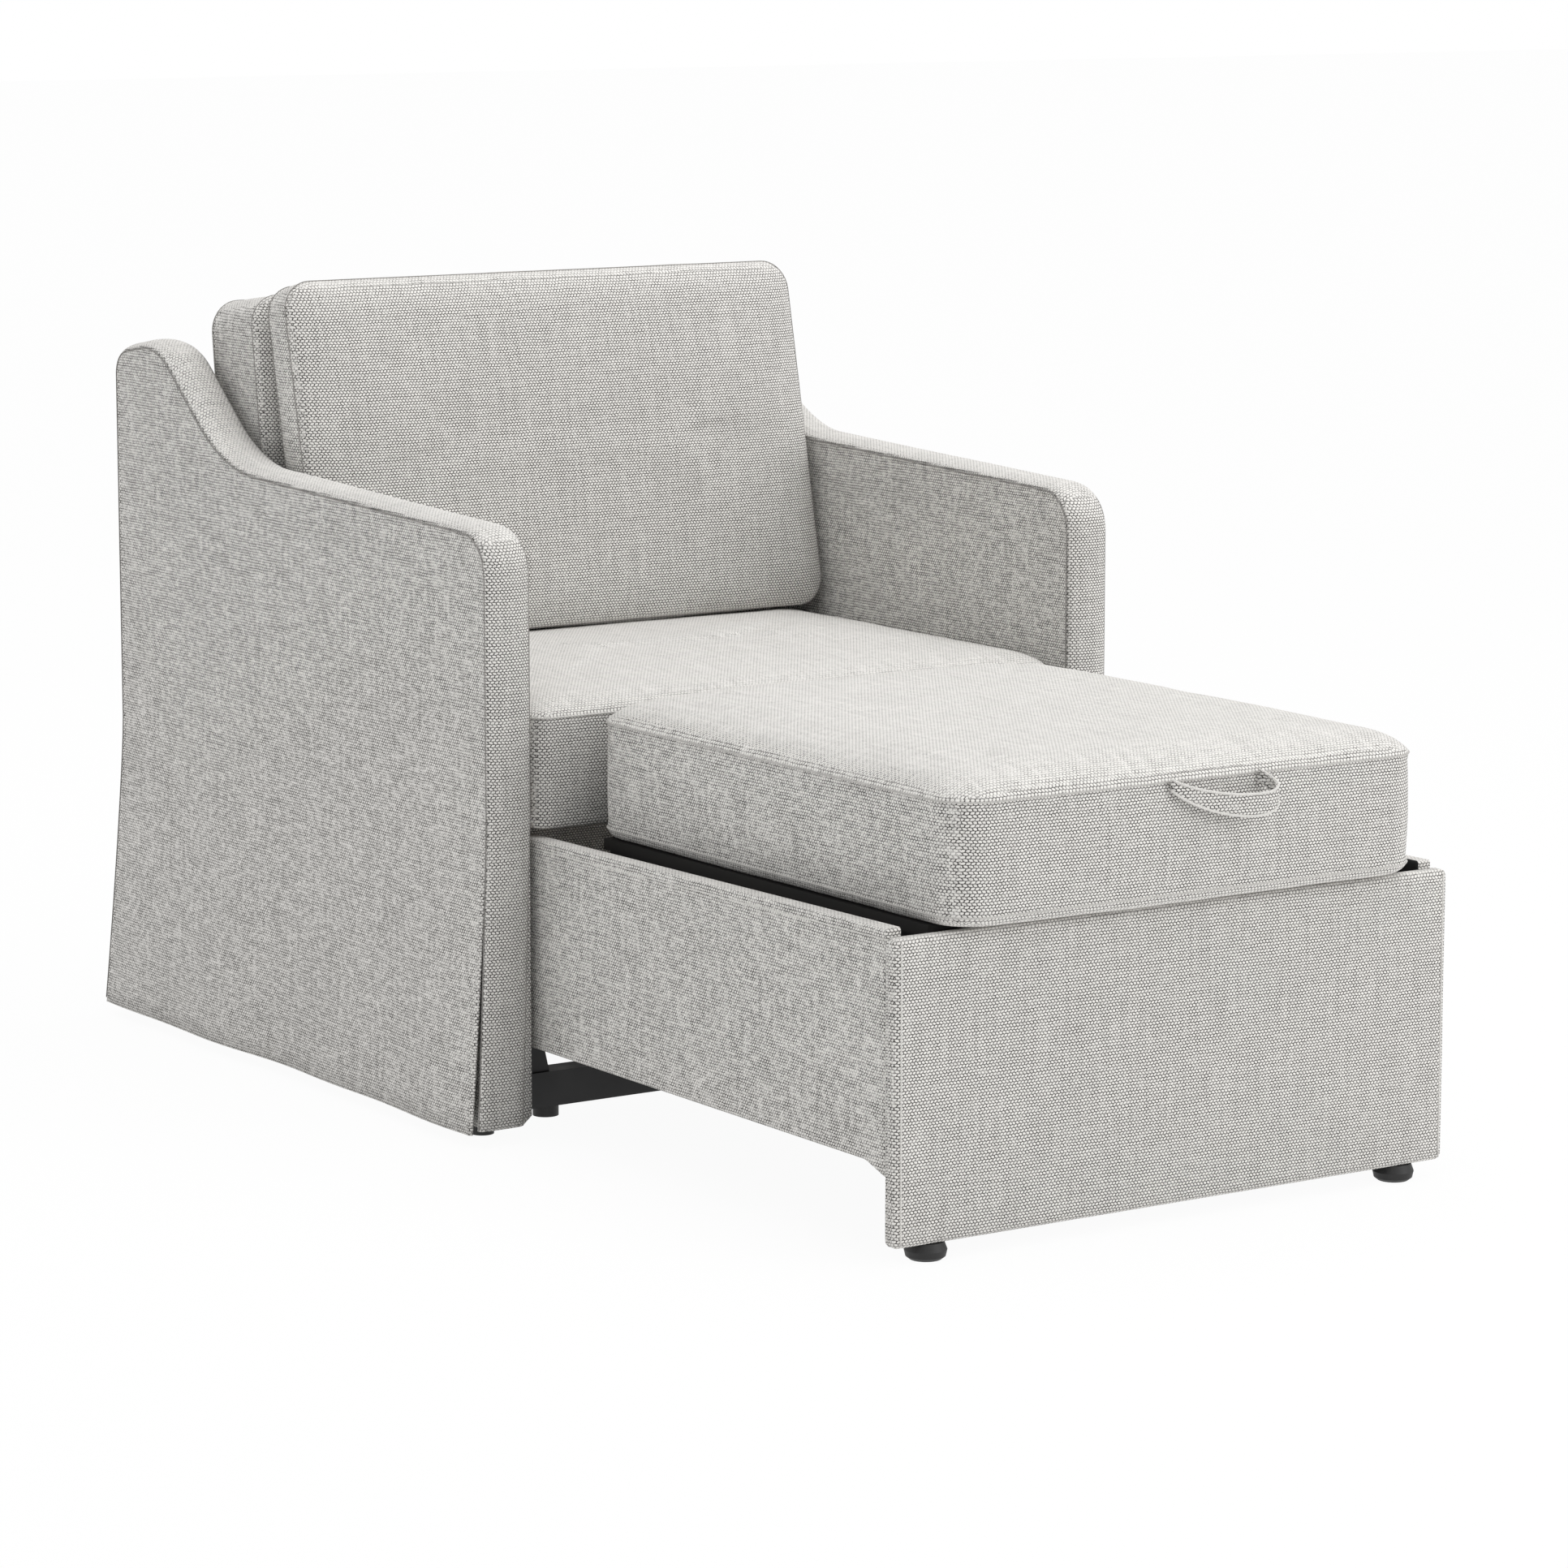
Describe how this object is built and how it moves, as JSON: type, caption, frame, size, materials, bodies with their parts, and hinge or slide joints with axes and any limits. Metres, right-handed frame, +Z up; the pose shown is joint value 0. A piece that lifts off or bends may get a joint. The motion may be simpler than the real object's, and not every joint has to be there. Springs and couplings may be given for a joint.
{
  "type": "convertible chair bed",
  "caption": "Upholstered skirted armchair with a reclining back and a pull-out box whose cushion lifts on links to seat height to make a chaise or bed.",
  "frame": {"origin": "on the floor under the middle of the opened-out chair bed", "axes": "+X to the right seen from the front, +Y to the rear along the length, +Z up"},
  "size_m": [0.8392, 1.565, 0.8627],
  "materials": {
    "upholstery": "light grey basket weave",
    "timber": "raw plywood and pine",
    "spring_steel": "bright wire",
    "black_steel": "black powder coat",
    "black_plastic": "moulded black",
    "black_board": "black lined board"
  },
  "bodies": {
    "chair": {"arm_cover_right": "upholstery", "arm_cover_left": "upholstery", "arm_frame_right": "timber", "arm_frame_left": "timber", "arm_feet": "black_plastic", "skirt_right": "upholstery", "skirt_left": "upholstery", "front_flap_right": "upholstery", "front_flap_left": "upholstery", "seat_front_rail": "timber", "seat_rear_rail": "timber", "seat_side_rails": "timber", "seat_springs": "spring_steel", "seat_cushion": "upholstery", "rear_rail": "timber", "rear_skirt": "upholstery", "hinge_fixed_leaves": "black_steel", "hinge_pins": "spring_steel", "guide_pads": "black_plastic"},
    "backrest": {"back_cover": "upholstery", "back_frame": "timber", "hinge_moving_leaves": "black_steel"},
    "back_cushion": {"back_cushion": "upholstery"},
    "extension_box": {"front_panel": "upholstery", "box_side_right": "upholstery", "box_side_left": "upholstery", "box_rear_board": "black_board", "box_floor": "black_board", "panel_batten": "timber", "front_glides": "black_plastic", "rear_trestle": "black_steel", "trestle_glides": "black_plastic", "link_brackets": "black_steel"},
    "front_links": {"front_link_right": "black_steel", "front_link_left": "black_steel"},
    "rear_links": {"rear_link_right": "black_steel", "rear_link_left": "black_steel"},
    "platform": {"platform_rails": "black_steel", "platform_board": "timber", "link_head_pins": "spring_steel", "extension_cushion": "upholstery", "pull_tab": "upholstery"}
  },
  "joints": [
    {"name": "back_recline", "type": "hinge", "parent": "chair", "child": "backrest", "pos_m": [0, 0.5285, 0.4], "axis": [-1, 0, 0], "range_deg": [0, 80]},
    {"name": "back_cushion_lift_off", "type": "slide", "parent": "backrest", "child": "back_cushion", "axis": [0, 0.1271, 0.9919], "range_m": [0, 0.3]},
    {"name": "extension_draw", "type": "slide", "parent": "chair", "child": "extension_box", "axis": [0, -1, 0], "range_m": [0, 0.185]},
    {"name": "front_link_swing", "type": "hinge", "parent": "extension_box", "child": "front_links", "pos_m": [0, -0.5915, 0.17617], "axis": [-1, 0, 0], "range_deg": [0, 118.5]},
    {"name": "rear_link_swing", "type": "hinge", "parent": "extension_box", "child": "rear_links", "pos_m": [0, -0.2115, 0.17617], "axis": [-1, 0, 0], "range_deg": [0, 118.5]},
    {"name": "platform_level", "type": "hinge", "parent": "front_links", "child": "platform", "pos_m": [0, -0.6082, 0.295], "axis": [1, 0, 0], "range_deg": [0, 118.5]}
  ],
  "couplings": [
    {"joint": "front_link_swing", "follows": "extension_draw", "rad_per_m": 11.132},
    {"joint": "rear_link_swing", "follows": "extension_draw", "rad_per_m": 11.132},
    {"joint": "platform_level", "follows": "extension_draw", "rad_per_m": 11.132}
  ]
}
